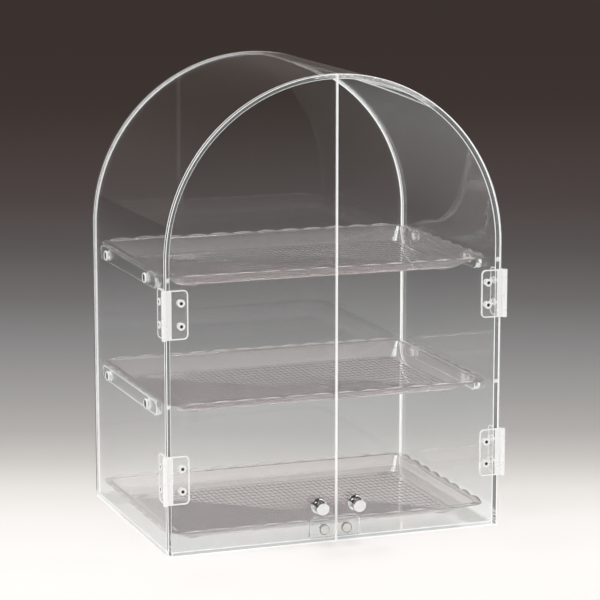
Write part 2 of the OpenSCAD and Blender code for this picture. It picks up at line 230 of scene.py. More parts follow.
paint = add(tree, "ShaderNodeBsdfPrincipled", {
    "Base Color": add(tree, "ShaderNodeValToRGB", {"Fac": grade}, GRADE), "Roughness": 0.7,
    "Specular IOR Level": 0.1, "Normal": grain})
add(tree, "ShaderNodeOutputMaterial", {"Surface": paint})
bm = bmesh.new()
bmesh.ops.create_circle(bm, cap_ends=True, segments=96, radius=FLOOR_RADIUS)
for vert in bm.verts:
    vert.co.z = -FLOOR_DROP_MM * MM
floor = new_object("floor", closed_mesh(bm, "floor", [floor_material]))
print("floor radius", FLOOR_RADIUS)

# %% [markdown]
# ## Lamps
# Three soft boxes: a wide one at the upper left, a smaller one at the right that draws the bright
# streak on the round top, and one behind that lights the polished edges, which also carry a painted
# glow.

# %% Soft boxes
def soft_box(name, location, aim, size, watts):
    """A rectangular lamp at a place in metres, turned to face the point it is aimed at."""
    data = bpy.data.lights.new(name, "AREA")
    data.shape = "RECTANGLE"
    data.size, data.size_y = size
    data.energy = watts
    lamp = new_object(name, data)
    lamp.location = location
    lamp.rotation_euler = (Vector(aim) - Vector(location)).to_track_quat("-Z", "Y").to_euler()


soft_box("left_box", (-1.5, -1.3, 1.9), (0, 0, 0.2), (1.3, 1.0), 20)
soft_box("right_box", (1.7, -0.5, 1.5), (0, 0, 0.25), (0.8, 1.1), 12)
soft_box("rear_box", (-0.3, 1.5, 1.7), (0, 0, 0.2), (1.4, 0.6), 12)

# %% [markdown]
# A look through the case crosses many clear faces, one after another, and each one costs a ray
# one bounce. So the number of bounces is set high enough for both doors, three trays and a wall.

# %% Bounces and view
scene.view_settings.view_transform = "Standard"
scene.cycles.max_bounces = 28
scene.cycles.transmission_bounces = 28
scene.cycles.transparent_max_bounces = 40
scene.cycles.caustics_reflective = False
scene.cycles.caustics_refractive = False
print("bounces", scene.cycles.max_bounces)

# %% [markdown]
# ## Finishes
# The sheets are cast acrylic: water clear, IOR 1.49, with a surface so even that only the faintest
# waves and wipe marks show. Their cut edges were machined and flame polished, so they scatter
# light and read as white lines, and their broken corners carry a painted glow as well. The trays are
# moulded in a clear styrene plastic with a slight violet cast, and the hinges in a softer, milkier
# one. Light that only passes on its way to something else goes straight through, which keeps the
# case's shadow as pale as it is. A part of the sight rays does so too in the trays, whose matt
# moulding mirrors less than polished sheet.
# One function makes them all, and a wipe of the cloth about 14 mm wide sets where each is duller.

# %% Function for a clear plastic
WIPE_MM = 14
WIPE_LOW, WIPE_HIGH = 0.4, 0.75


def clear_plastic(name, tint, passing, ior, rough, wave_mm, wave_depth,
                  solid=0.0, straight=0.0, glow=0.0):
    """A clear plastic. rough is (least, most), wave_mm and wave_depth the size of its surface waves
    in mm, solid the share that scatters light like milk, straight the share of sight that passes
    unbent, and glow the strength of a painted glow that stands in for the light a sheet pipes out
    through its edge."""
    material = bpy.data.materials.new(name)
    tree = new_tree(material)
    place = add(tree, "ShaderNodeTexCoord").outputs["Object"]
    waves = add(tree, "ShaderNodeTexNoise", {
        "Vector": place, "Scale": 1 / (wave_mm * MM), "Detail": 2.0})
    wipes = add(tree, "ShaderNodeTexNoise", {
        "Vector": place, "Scale": 1 / (WIPE_MM * MM), "Detail": 4.0})
    roughness = add(tree, "ShaderNodeMapRange", {
        "Value": wipes.outputs["Fac"], "From Min": WIPE_LOW, "From Max": WIPE_HIGH,
        "To Min": rough[0], "To Max": rough[1]})
    bump = add(tree, "ShaderNodeBump", {
        "Strength": 1.0, "Distance": wave_depth * MM, "Height": waves.outputs["Fac"]})
    # glow is painted light: the surface emits it though it is no lamp.
    body = add(tree, "ShaderNodeBsdfPrincipled", {
        "Base Color": linear(tint), "Transmission Weight": 1.0 - solid, "IOR": ior,
        "Roughness": roughness, "Normal": bump, "Emission Strength": glow})
    through = add(tree, "ShaderNodeBsdfTransparent", {"Color": linear(passing)})
    rays = add(tree, "ShaderNodeLightPath").outputs
    passing_by = add(tree, "ShaderNodeMath", {0: rays["Is Shadow Ray"], 1: rays["Is Diffuse Ray"]},
                     operation="MAXIMUM")
    share = add(tree, "ShaderNodeMath", {0: passing_by, 1: straight}, operation="MAXIMUM")
    mixed = add(tree, "ShaderNodeMixShader", {0: share, 1: body, 2: through})
    add(tree, "ShaderNodeOutputMaterial", {"Surface": mixed})
    return material


print("wipe marks are", WIPE_MM, "mm wide")

# %% Clear finishes
ACRYLIC, STYRENE, HINGE_PLASTIC = 1.49, 1.57, 1.5
# Cast sheet is flat and polished. It shows only what it mirrors, and bends nothing behind it.
sheet_face = clear_plastic(
    "cast_acrylic_sheet", "#fdffff", "#feffff", ACRYLIC, (0.0, 0.004), 90, 0.02)
# A sawn edge has fine ripples across it. They break up the view into grey and white streaks.
sheet_edge = clear_plastic(
    "sawn_acrylic_edge", "#ffffff", "#fcfcfc", ACRYLIC, (0.0, 0.1), 5, 0.35, solid=0.2)
# The base's edge was rubbed with abrasive paper and left dull. It reads as a pale, even band.
rubbed_edge = clear_plastic(
    "rubbed_acrylic_edge", "#ffffff", "#fcfcfc", ACRYLIC, (0.05, 0.3), 4, 0.1, solid=0.6)
# The broken corner of a sheet is milky and carries a painted glow, standing in for the light that the
# sheet pipes. It is the white outline.
bright_arris = clear_plastic(
    "flame_polished_arris_with_painted_glow", "#ffffff", "#f8f8f8", ACRYLIC, (0.1, 0.3), 4, 0.08, solid=0.95, glow=0.16)
# A milled bar is a touch duller than sheet and wavy from the cutter.
bar_face = clear_plastic(
    "machined_acrylic_bar", "#fbfdfd", "#fbfcfc", ACRYLIC, (0.0, 0.02), 20, 0.03)
# Moulded styrene has flow waves and a faint violet cast, deeper where several trays overlap.
tray_clear = clear_plastic(
    "moulded_styrene", "#fef9fa", "#fefcfc", STYRENE, (0.0, 0.02), 12, 0.04, solid=0.04, straight=0.1)
# The flat of a hinge leaf is clear, with small ripples from its mould.
hinge_clear = clear_plastic(
    "moulded_hinge_plastic", "#fdfdfd", "#fafafa", HINGE_PLASTIC, (0.01, 0.06), 5, 0.05, solid=0.02)
# The barrels and rims are thick and rough, so they look white.
hinge_milky = clear_plastic(
    "milky_hinge_barrel", "#ffffff", "#f4f4f4", HINGE_PLASTIC, (0.15, 0.35), 3, 0.06, solid=0.78)
print("clear plastics", sorted(m.name for m in bpy.data.materials))

# %% [markdown]
# The small parts are opaque: white nylon, chromed brass and nickel-plated steel. A dark finish in the
# mouths of rivets and spools is painted shade.
# Their real grain is finer than a pixel, so it is drawn as coarse as 1 to 3 mm to show at all.

# %% Opaque finishes
def solid_finish(name, dark, light, metallic, rough, grain_mm, depth):
    """Metal or opaque plastic whose colour and roughness drift with a fine grain."""
    material = bpy.data.materials.new(name)
    tree = new_tree(material)
    place = add(tree, "ShaderNodeTexCoord").outputs["Object"]
    grain = add(tree, "ShaderNodeTexNoise", {
        "Vector": place, "Scale": 1 / (grain_mm * MM), "Detail": 4.0})
    roughness = add(tree, "ShaderNodeMapRange", {
        "Value": grain.outputs["Fac"], "To Min": rough[0], "To Max": rough[1]})
    bump = add(tree, "ShaderNodeBump", {
        "Strength": 1.0, "Distance": depth * MM, "Height": grain.outputs["Fac"]})
    colour = add(tree, "ShaderNodeValToRGB", {"Fac": grain.outputs["Fac"]}, [(0.3, dark), (0.7, light)])
    body = add(tree, "ShaderNodeBsdfPrincipled", {
        "Base Color": colour, "Metallic": metallic, "Roughness": roughness, "Normal": bump})
    add(tree, "ShaderNodeOutputMaterial", {"Surface": body})
    return material


# Nylon from a mould is softly shiny and almost pure white.
nylon = solid_finish("moulded_white_nylon", "#efefec", "#f8f8f6", 0.0, (0.25, 0.4), 2.0, 0.03)
# Chrome over turned brass is a near mirror, so a knob shows the dark room and the white table.
chrome = solid_finish("chromed_brass", "#e3e5e7", "#f0f1f2", 1.0, (0.03, 0.08), 3.0, 0.002)
# Nickel plate is warmer and duller than chrome.
nickel = solid_finish("nickel_plated_steel", "#d6d3cd", "#e6e3de", 1.0, (0.08, 0.2), 1.5, 0.004)
# The rim of a disc that is let into plastic lies in shade, so it looks darker than the face.
dark_nickel = solid_finish("shaded_disc_rim", "#5c5a58", "#787572", 1.0, (0.2, 0.35), 1.5, 0.004)
# A dark dot in the mouth of a rivet or a spool is painted shade, where its hollow bore gets no light.
painted_bore_shade = solid_finish("painted_bore_shade_plug", "#121111", "#242221", 0.2, (0.3, 0.5), 1.0, 0.01)
print("opaque finishes", [m.name for m in (nylon, chrome, nickel, dark_nickel, painted_bore_shade)])

# %% [markdown]
# ## Cut sheets and bars
# The fixed model already has the right outline and holes for each sheet. A copy of it is merged
# and gets a fine chamfer, because a cut edge is always broken a little, and that chamfer is what
# catches the light; on the sheets and bars its finish also carries a painted glow. Faces along a cut
# edge get the edge finish. Each copy is drawn in by a hair,
# because two clear faces in the very same plane can't be told apart by a ray of light.

# %% Ease the edges of a copy
CHAMFER = 0.6
HAIR = 0.03
MERGE = 0.002 * MM
SHARP = math.radians(25)
FLAT = math.radians(0.2)
SHADE_BREAK = math.radians(14)


def finish_mesh(name, mesh, body, nodes):
    """Links a finished mesh, shades it, ties it to its body and hides the nodes it stands for."""
    mesh.shade_smooth()
    mesh.set_sharp_from_angle(angle=SHADE_BREAK)
    piece = new_object(name, mesh)
    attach(piece, body)
    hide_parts(*nodes)
    return piece


def eased(node, body, finishes, pick, chamfer=CHAMFER, prepare=None, chosen=None):
    """Copies a node and chamfers it. pick(face) gives a face's place in finishes, and the last of
    them is the chamfer's. prepare(bm) may divide faces first, and returns those that get the second
    finish. chosen(edge) tells which sharp edges are chamfered, and without it all are."""
    bm = bmesh.new()
    bm.from_mesh(frame["nodes"][node].data)
    bmesh.ops.remove_doubles(bm, verts=bm.verts, dist=MERGE)
    bmesh.ops.dissolve_limit(bm, angle_limit=FLAT, verts=bm.verts, edges=bm.edges)
    second = prepare(bm) if prepare else set()
    for face in bm.faces:
        face.material_index = 1 if face in second else pick(face)
    sharp = [e for e in bm.edges
             if e.is_manifold and e.calc_face_angle(0) > SHARP and (chosen is None or chosen(e))]
    bmesh.ops.bevel(bm, geom=sharp, offset=chamfer * MM, offset_type="OFFSET", segments=1,
                    affect="EDGES", clamp_overlap=True, material=len(finishes) - 1)
    bm.normal_update()
    shifts = [(vert, vert.normal * HAIR * MM) for vert in bm.verts]
    for vert, shift in shifts:
        vert.co -= shift
    mesh = closed_mesh(bm, node + "_eased", finishes)
    piece = finish_mesh(node + "_eased", mesh, body, [node])
    print(piece.name, len(mesh.polygons), "faces")
    return piece


def square_to(face, axis):
    """Tells if a face looks along an axis."""
    return abs(face.normal[axis]) > 0.9


def edge_unless(axis):
    """Picks the clear finish for faces square to an axis and the edge finish for the rest."""
    return lambda face: 0 if square_to(face, axis) else 1


print("chamfer", CHAMFER, "mm")

# %% [markdown]
# The chamfer leaves out the rims of the small holes, which are too tight for it, and the two
# edges where the doors meet, which stay square so that the gap between them is one thin line.

# %% Which faces and edges of a sheet are finished how
SHEET = [sheet_face, sheet_edge, bright_arris]
MEETING = 5 * MM
HOLE_EDGE = 1.3 * MM


def door_finish(face):
    """The edges where the doors meet are polished, and their finish carries a painted glow."""
    if square_to(face, X) and abs(face.calc_center_median().x) < MEETING:
        return 2
    return 0 if square_to(face, Y) else 1


def long_edge(edge):
    """The edges around small round holes are short, and they stay sharp."""
    return edge.calc_length() > HOLE_EDGE


def outer_edge(edge):
    """The long edges of a door, except those at the middle of the case."""
    return long_edge(edge) and max(abs(vert.co.x) for vert in edge.verts) > MEETING


def sheet(node, body, pick, finishes=SHEET, chosen=long_edge):
    """Eases a sheet. The faces of a flat one are shaded flat, so that they mirror without a bend."""
    piece = eased(node, body, finishes, pick, chosen=chosen)
    if node != "wrapper_shell":
        for face in piece.data.polygons:
            face.use_smooth = face.material_index != 0


print("sheet finishes", [material.name for material in SHEET])

# %% Case sheets and doors
sheet("wrapper_shell", "case", lambda face: 1 if square_to(face, Y) else 0)
sheet("back_panel", "case", edge_unless(Y))
sheet("base_panel", "case", edge_unless(Z), [sheet_face, rubbed_edge, bright_arris])
sheet("left_door", "left_door", door_finish, chosen=outer_edge)
sheet("right_door", "right_door", door_finish, chosen=outer_edge)

# %% [markdown]
# Where the bent sheet meets the back panel, a thin bead of cement has been drawn into the corner.
# It is seen as a second bright line inside the outline, lit partly by a painted glow in its finish. A
# node tree sweeps a round section along the inner outline, which is laid out as a chain of points.

# %% Inputs and runs of a node tree
def group_input(tree, name, kind, value=None):
    """Gives a node tree a named input."""
    socket = tree.interface.new_socket(name, in_out="INPUT", socket_type=kind)
    if value is not None:
        socket.default_value = value


def run_tree(name, tree, mesh, values):
    """Runs a node tree on a mesh and returns the result as a plain mesh."""
    carrier = new_object(name + "_carrier", mesh)
    modifier = carrier.modifiers.new("tree", "NODES")
    modifier.node_group = tree
    for item in tree.interface.items_tree:
        if item.in_out == "INPUT" and item.name in values:
            modifier[item.identifier] = values[item.name]
    graph = bpy.context.evaluated_depsgraph_get()
    result = bpy.data.meshes.new_from_object(carrier.evaluated_get(graph))
    result.name = name
    while None in list(result.materials):
        result.materials.pop(index=list(result.materials).index(None))
    bpy.data.objects.remove(carrier)
    bm = bmesh.new()
    bm.from_mesh(result)
    bmesh.ops.recalc_face_normals(bm, faces=bm.faces)
    bm.to_mesh(result)
    bm.free()
    return result


print("node groups so far", len(bpy.data.node_groups))

# %% Node tree for the cement bead
BEAD_SIDES = 10


def bead_tree():
    """Sweeps a round section along a chain of points."""
    tree = bpy.data.node_groups.new("bead", "GeometryNodeTree")
    group_input(tree, "Path", "NodeSocketGeometry")
    group_input(tree, "Radius", "NodeSocketFloat", 1.0)
    group_input(tree, "Finish", "NodeSocketMaterial")
    tree.interface.new_socket("Bead", in_out="OUTPUT", socket_type="NodeSocketGeometry")
    given = add(tree, "NodeGroupInput").outputs
    path = add(tree, "GeometryNodeMeshToCurve", {"Mesh": given["Path"]})
    section = add(tree, "GeometryNodeCurvePrimitiveCircle", {
        "Resolution": BEAD_SIDES, "Radius": given["Radius"]})
    swept = add(tree, "GeometryNodeCurveToMesh", {
        "Curve": path, "Profile Curve": section.outputs["Curve"], "Fill Caps": True})
    real = add(tree, "GeometryNodeRealizeInstances", {"Geometry": swept})
    done = add(tree, "GeometryNodeSetMaterial", {"Geometry": real, "Material": given["Finish"]})
    add(tree, "NodeGroupOutput", {"Bead": done})
    return tree


print("the bead has", BEAD_SIDES, "sides")

# %% Cement bead
SHEET_THICK = 5.0
BEAD_R = 0.85
BEAD_CLEAR = 0.05
BEAD_FOOT = 0.2
ARCH_STEPS = 120
wrapper_high = Vector(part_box("wrapper_shell")[1]) / MM
arch_r = wrapper_high.x - SHEET_THICK - BEAD_R - BEAD_CLEAR
spring_z = wrapper_high.z - wrapper_high.x
bead_y = wrapper_high.y - BEAD_R - BEAD_CLEAR
foot_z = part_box("base_panel")[1][2] / MM + BEAD_FOOT
turns = [math.pi * i / ARCH_STEPS for i in range(ARCH_STEPS + 1)]
arch = [(-arch_r * math.cos(turn), bead_y, spring_z + arch_r * math.sin(turn)) for turn in turns]
outline = [(-arch_r, bead_y, foot_z), *arch, (arch_r, bead_y, foot_z)]
path = bpy.data.meshes.new("bead_path")
path.from_pydata([Vector(p) * MM for p in outline], [(i, i + 1) for i in range(len(outline) - 1)], [])
bead_mesh = run_tree("cement_bead", bead_tree(), path, {"Radius": BEAD_R * MM, "Finish": bright_arris})
bead_mesh.shade_smooth()
bead = new_object("cement_bead", bead_mesh)
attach(bead, "case")
print("bead", len(bead_mesh.polygons), "faces")

# %% [markdown]
# The rails are bars with round ends, fixed to the walls. The round ends are rougher from cutting,
# so they get the edge finish, and the long sides the clear one. The catch plate is cut like a
# sheet.

# %% Rails and catch plate
BAR = [bar_face, sheet_edge, bright_arris]


def rail_finish(face):
    """The round ends get the edge finish, and the sides and the long edges the clear one."""
    return 1 if abs(face.normal.y) > 0.3 and abs(face.normal.x) < 0.5 else 0


for side in SIDES:
    for level in LEVELS:
        eased(f"{side}_{level}_rail", "case", BAR, rail_finish)
eased("catch_plate", "case", BAR, edge_unless(Y))

# %% [markdown]
# ## Hinges
# Each hinge is two moulded leaves on one pin. The flats are clear with a bright rounded rim, and
# the barrel, which is thicker and has many surfaces behind each other, looks almost white.

# %% Divide a hinge leaf into barrel, flat and rim
BARREL_REACH = 6.5
LEAF_RIM = 1.1
LEAF_CHAMFER = 0.45
LEAF = [hinge_clear, hinge_milky, hinge_milky]


def leaf_parts(node):
    """Two functions for a leaf: one divides its flats, and one picks the milky or clear finish."""
    side, level = node.split("_")[:2]
    flat_axis, reach_axis = (X, Y) if node.endswith("wall_leaf") else (Y, X)
    low, high = (Vector(v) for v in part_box(f"{side}_{level}_hinge_pin"))
    pin = (low + high) / 2
    low, high = (Vector(v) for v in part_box(node))
    away = 1 if (low + high)[reach_axis] / 2 > pin[reach_axis] else -1
    root = pin.copy()
    root[reach_axis] += away * BARREL_REACH * MM

    def beyond_root(face):
        return (face.calc_center_median() - root)[reach_axis] * away > 0

    def divide(bm):
        plane = Vector([1.0 if i == reach_axis else 0.0 for i in range(3)])
        everything = bm.verts[:] + bm.edges[:] + bm.faces[:]
        bmesh.ops.bisect_plane(bm, geom=everything, dist=MERGE, plane_co=root, plane_no=plane)
        bm.normal_update()
        flats = [face for face in bm.faces if square_to(face, flat_axis) and beyond_root(face)]
        rim = bmesh.ops.inset_region(bm, faces=flats, thickness=LEAF_RIM * MM, use_boundary=True,
                                     use_even_offset=True)["faces"]
        return set(rim)

    def pick(face):
        return 0 if beyond_root(face) and abs(face.normal[flat_axis]) > 0.5 else 1
    return divide, pick


print("a leaf is milky up to", BARREL_REACH, "mm from its pin")

# %% Hinge leaves and pins
for side in SIDES:
    for level in LEVELS:
        for kind, body in (("wall", "case"), ("door", side + "_door")):
            node = f"{side}_{level}_{kind}_leaf"
            divide, pick = leaf_parts(node)
            eased(node, body, LEAF, pick, LEAF_CHAMFER, divide)
        pin = frame["nodes"][f"{side}_{level}_hinge_pin"]
        for place in pin.material_slots:
            place.material = hinge_milky

# %% [markdown]
# ## Rivets and spools
# The leaves are held by hollow rivets with rolled heads, and the rails by hollow spools. Both are
# the same kind of turned shape: a tube with a rounded ring at each end, and a dark plug in its
# mouth that is painted shade of the hollow bore. One node tree makes it from its sizes and sets it
# on each point, turned to that point's axis.

# %% Head, tube and painted bore shade of a hollow rivet
RING_STEPS, SECTION_STEPS, BORE_SHADE_STEPS = 28, 10, 24
BORE_SHADE_RADIUS_SHARE, BORE_SHADE_HEIGHT_SHARE = 0.52, 0.6


def rolled_ring(tree, diameter, hole, height, z):
    """A ring of round section around a hole, pressed flat to the head's height."""
    both = add(tree, "ShaderNodeMath", {0: diameter, 1: hole}, operation="ADD")
    around = add(tree, "ShaderNodeMath", {0: both, 1: 0.25}, operation="MULTIPLY")
    apart = add(tree, "ShaderNodeMath", {0: diameter, 1: hole}, operation="SUBTRACT")
    across = add(tree, "ShaderNodeMath", {0: apart, 1: 0.25}, operation="MULTIPLY")
    path = add(tree, "GeometryNodeCurvePrimitiveCircle", {"Resolution": RING_STEPS, "Radius": around})
    section = add(tree, "GeometryNodeCurvePrimitiveCircle", {
        "Resolution": SECTION_STEPS, "Radius": across})
    ring = add(tree, "GeometryNodeCurveToMesh", {"Curve": path, "Profile Curve": section})
    thick = add(tree, "ShaderNodeMath", {0: across, 1: 2.0}, operation="MULTIPLY")
    flat = add(tree, "ShaderNodeMath", {0: height, 1: thick}, operation="DIVIDE")
    scale = add(tree, "ShaderNodeCombineXYZ", {"X": 1.0, "Y": 1.0, "Z": flat})
    shift = add(tree, "ShaderNodeCombineXYZ", {"Z": z})
    return add(tree, "GeometryNodeTransform", {"Geometry": ring, "Scale": scale, "Translation": shift})


def rivet_tube(tree, shank, bore, length):
    """The tube between the head and the tail, from its outer and inner diameter."""
    both = add(tree, "ShaderNodeMath", {0: shank, 1: bore}, operation="ADD")
    around = add(tree, "ShaderNodeMath", {0: both, 1: 0.25}, operation="MULTIPLY")
    apart = add(tree, "ShaderNodeMath", {0: shank, 1: bore}, operation="SUBTRACT")
    wall = add(tree, "ShaderNodeMath", {0: apart, 1: 0.5}, operation="MULTIPLY")
    path = add(tree, "GeometryNodeCurvePrimitiveCircle", {"Resolution": RING_STEPS, "Radius": around})
    section = add(tree, "GeometryNodeCurvePrimitiveQuadrilateral", {"Width": wall, "Height": length})
    tube = add(tree, "GeometryNodeCurveToMesh", {"Curve": path, "Profile Curve": section})
    middle = add(tree, "ShaderNodeMath", {0: length, 1: 0.5}, operation="MULTIPLY")
    shift = add(tree, "ShaderNodeCombineXYZ", {"Z": middle})
    return add(tree, "GeometryNodeTransform", {"Geometry": tube, "Translation": shift})


def bore_shade_plug(tree, mouth, height, z):
    """A short dark cylinder that closes the mouth, painted shade of the hollow bore."""
    radius = add(tree, "ShaderNodeMath", {0: mouth, 1: BORE_SHADE_RADIUS_SHARE}, operation="MULTIPLY")
    depth = add(tree, "ShaderNodeMath", {0: height, 1: BORE_SHADE_HEIGHT_SHARE}, operation="MULTIPLY")
    end = add(tree, "GeometryNodeMeshCylinder", {
        "Vertices": BORE_SHADE_STEPS, "Radius": radius, "Depth": depth})
    shift = add(tree, "ShaderNodeCombineXYZ", {"Z": z})
    return add(tree, "GeometryNodeTransform", {"Geometry": end, "Translation": shift})


print("a ring has", RING_STEPS, "steps around and", SECTION_STEPS, "across")

# %% Node tree for hollow rivets
def rivet_inputs(tree):
    """The named inputs and the output of the rivets' tree."""
    group_input(tree, "Points", "NodeSocketGeometry")
    for name in ("Head Diameter", "Head Height", "Mouth Diameter", "Tail Diameter",
                 "Shank Diameter", "Bore Diameter", "Stack"):
        group_input(tree, name, "NodeSocketFloat", 1.0)
    for name in ("Finish", "Mouth Finish"):
        group_input(tree, name, "NodeSocketMaterial")
    tree.interface.new_socket("Rivets", in_out="OUTPUT", socket_type="NodeSocketGeometry")
    return add(tree, "NodeGroupInput").outputs


def hollow_rivet_tree():
    """A head, a tube and a tail with a dark plug of painted bore shade in the mouth, set on each point.
    """
    tree = bpy.data.node_groups.new("hollow_rivets", "GeometryNodeTree")
    given = rivet_inputs(tree)
    bore, stack = given["Bore Diameter"], given["Stack"]
    mouth, height = given["Mouth Diameter"], given["Head Height"]
    half_head = add(tree, "ShaderNodeMath", {0: height, 1: 0.5}, operation="MULTIPLY")
    under_head = add(tree, "ShaderNodeMath", {0: half_head, 1: -1.0}, operation="MULTIPLY")
    over_stack = add(tree, "ShaderNodeMath", {0: stack, 1: half_head}, operation="ADD")
    head = rolled_ring(tree, given["Head Diameter"], mouth, height, under_head)
    tail = rolled_ring(tree, given["Tail Diameter"], bore, height, over_stack)
    tube = rivet_tube(tree, given["Shank Diameter"], bore, stack)
    rivet = add(tree, "GeometryNodeJoinGeometry", {"Geometry": [head, tail, tube]})
    white = add(tree, "GeometryNodeSetMaterial", {"Geometry": rivet, "Material": given["Finish"]})
    # The dark plug in the mouth is painted shade of the hollow bore.
    dark = add(tree, "GeometryNodeSetMaterial", {
        "Geometry": bore_shade_plug(tree, mouth, half_head, under_head), "Material": given["Mouth Finish"]})
    both = add(tree, "GeometryNodeJoinGeometry", {"Geometry": [white, dark]})
    axis = add(tree, "GeometryNodeInputNamedAttribute", {"Name": "axis"}, data_type="FLOAT_VECTOR")
    turn = add(tree, "FunctionNodeAlignRotationToVector", {"Vector": axis}, axis="Z")
    each = add(tree, "GeometryNodeInstanceOnPoints", {
        "Points": given["Points"], "Instance": both, "Rotation": turn})
    real = add(tree, "GeometryNodeRealizeInstances", {"Geometry": each})
    add(tree, "NodeGroupOutput", {"Rivets": real})
    return tree


rivet_tree = hollow_rivet_tree()
print("rivet tree has", len(rivet_tree.nodes), "nodes")

# %% Find where rivets and spools go
def corners(points):
    """The lowest and the highest corner of a box around some points."""
    points = list(points)
    return tuple(Vector(pick(p[i] for p in points) for i in (X, Y, Z)) for pick in (min, max))


def islands(node):
    """Box of each separate solid in a node's mesh, as (low, high) corners."""
    bm = bmesh.new()
    bm.from_mesh(frame["nodes"][node].data)
    bmesh.ops.remove_doubles(bm, verts=bm.verts, dist=MERGE)
    left, found = set(bm.verts), []
    for first in bm.verts:
        if first not in left:
            continue
        left.remove(first)
        todo, group = [first], [first]
        while todo:
            for edge in todo.pop().link_edges:
                for vert in edge.verts:
                    if vert in left:
                        left.remove(vert)
                        todo.append(vert)
                        group.append(vert)
        found.append(corners(vert.co for vert in group))
    bm.free()
    return found


print("wall rivets", len(islands("wall_leaf_rivets")))

# %% Set rivets and spools in place
def hollow_pieces(name, nodes, body, sizes, axis_index, inward):
    """Rivets or spools at every solid of the nodes, with the head at the outer end of each.
    inward(point) is 1 or -1, the way from the head to the tail along the axis."""
    points, axes = [], []
    head = sizes["Head Height"]
    for node in nodes:
        for low, high in islands(node):
            point = (low + high) / 2
            sign = inward(point)
            outer = low[axis_index] if sign > 0 else high[axis_index]
            point[axis_index] = outer + sign * head
            points.append(point)
            axes.append([sign if i == axis_index else 0.0 for i in (X, Y, Z)])
    mesh = bpy.data.meshes.new(name + "_points")
    mesh.from_pydata(points, [], [])
    attribute = mesh.attributes.new("axis", "FLOAT_VECTOR", "POINT")
    attribute.data.foreach_set("vector", [v for axis in axes for v in axis])
    # The mouth gets the dark finish that paints the shade of the hollow bore.
    result = run_tree(name, rivet_tree, mesh, {**sizes, "Finish": nylon, "Mouth Finish": painted_bore_shade})
    finish_mesh(name, result, body, nodes)
    low, high = corners(vert.co for vert in result.vertices)
    print(name, len(points), "pieces", [round(v / MM, 1) for v in (*low, *high)])


def to_middle(point):
    """From either wall, towards the middle of the case."""
    return 1.0 if point.x < 0 else -1.0


def to_back(point):
    """From the front, towards the back."""
    return 1.0


RIVET = {"Head Diameter": 7.6 * MM, "Head Height": 0.9 * MM, "Mouth Diameter": 3.0 * MM,
         "Tail Diameter": 6.4 * MM, "Shank Diameter": 4.0 * MM, "Bore Diameter": 2.0 * MM,
         "Stack": 7.0 * MM}
SPOOL = {"Head Diameter": 10.0 * MM, "Head Height": 1.8 * MM, "Mouth Diameter": 7.6 * MM,
         "Tail Diameter": 10.0 * MM, "Shank Diameter": 6.4 * MM, "Bore Diameter": 3.4 * MM,
         "Stack": 8.8 * MM}
hollow_pieces("wall_rivets", ["wall_leaf_rivets"], "case", RIVET, X, to_middle)
for side in SIDES:
    hollow_pieces(side + "_door_rivets", [side + "_door_leaf_rivets"], side + "_door", RIVET, Y, to_back)
pegs = [f"{side}_{level}_rail_pegs" for side in SIDES for level in LEVELS]
hollow_pieces("rail_spools", pegs, "case", SPOOL, X, to_middle)

# %% [markdown]
# ## Knobs
# The knobs are turned from brass and chromed. A turned part is one profile spun about its axis,
# so the profile is drawn with every edge rounded and swept in a plain loop.

# %% Turned knobs
KNOB_STEPS = 64
# Each pair is (radius, height above the door) in mm: foot ring, waist, barrel and domed face.
KNOB = [(0, 0), (7.6, 0), (7.9, 0.3), (7.9, 1.3), (7.75, 1.65), (7.4, 1.8),
        (5.4, 1.8), (5.1, 2.1), (5.1, 3.4), (5.4, 3.9),
        (6.3, 4.3), (6.6, 4.7), (6.7, 5.2), (6.7, 12.6), (6.6, 13.1), (6.3, 13.5),
        (5.8, 13.7), (4.6, 13.86), (2.8, 13.96), (0, 14.0)]


def turned_knob(side):
    """Spins the profile about the knob's axis, and closes it at both poles."""
    low, high = (Vector(v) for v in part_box(side + "_knob"))
    x, z, y = (low.x + high.x) / 2, (low.z + high.z) / 2, high.y
    bm = bmesh.new()
    turns = [2 * math.pi * i / KNOB_STEPS for i in range(KNOB_STEPS)]
    rings = []
    for radius, out in KNOB:
        around = turns if radius else turns[:1]
        rings.append([bm.verts.new((x + radius * MM * math.cos(turn), y - out * MM,
                                    z + radius * MM * math.sin(turn))) for turn in around])
    for inner, outer in zip(rings, rings[1:]):
        for i in range(KNOB_STEPS):
            j = (i + 1) % KNOB_STEPS
            quad = (inner[i % len(inner)], outer[i % len(outer)],
                    outer[j % len(outer)], inner[j % len(inner)])
            bm.faces.new(list(dict.fromkeys(quad)))
    bmesh.ops.recalc_face_normals(bm, faces=bm.faces)
    mesh = closed_mesh(bm, side + "_turned_knob", [chrome])
    finish_mesh(side + "_turned_knob", mesh, side + "_door", [side + "_knob"])
    print(side, "knob stands out", round((high.y - low.y) / MM, 1), "mm")


for side in SIDES:
    turned_knob(side)
    for place in frame["nodes"][side + "_knob_screw"].material_slots:
        place.material = nickel

# %% [markdown]
# The catch is a pair of round magnets in the plate and a plated disc in each door. A disc that is
# let into clear plastic is seen with a dark rim, where no light reaches its side.

# %% Magnets and discs of the catch
DISC = [nickel, dark_nickel, dark_nickel]
for node, body in (("left_strike_disc", "left_door"), ("right_strike_disc", "right_door"),
                   ("catch_magnets", "case")):
    eased(node, body, DISC, edge_unless(Y))

# %% [markdown]
# ## Trays
# A tray is one moulding: a flat rim whose outer lip rises and falls in shallow scallops, walls
# that lean in, and a floor covered with small raised pads. The shell is built from rings of
# points, each a rounded rectangle at one height, and skinned from the rim inwards and back
# underneath. The pads repeat over the floor, so a node tree makes them.

# %% Rings of a tray
CORNER_STEPS = 8
WAVE_STEPS = 8
WAVES_ALONG_X, WAVES_ALONG_Y = 12, 8
RIM_HALF = (164.0, 115.0)
SCALLOP = 1.6
TRAY_CORNER = 10.0


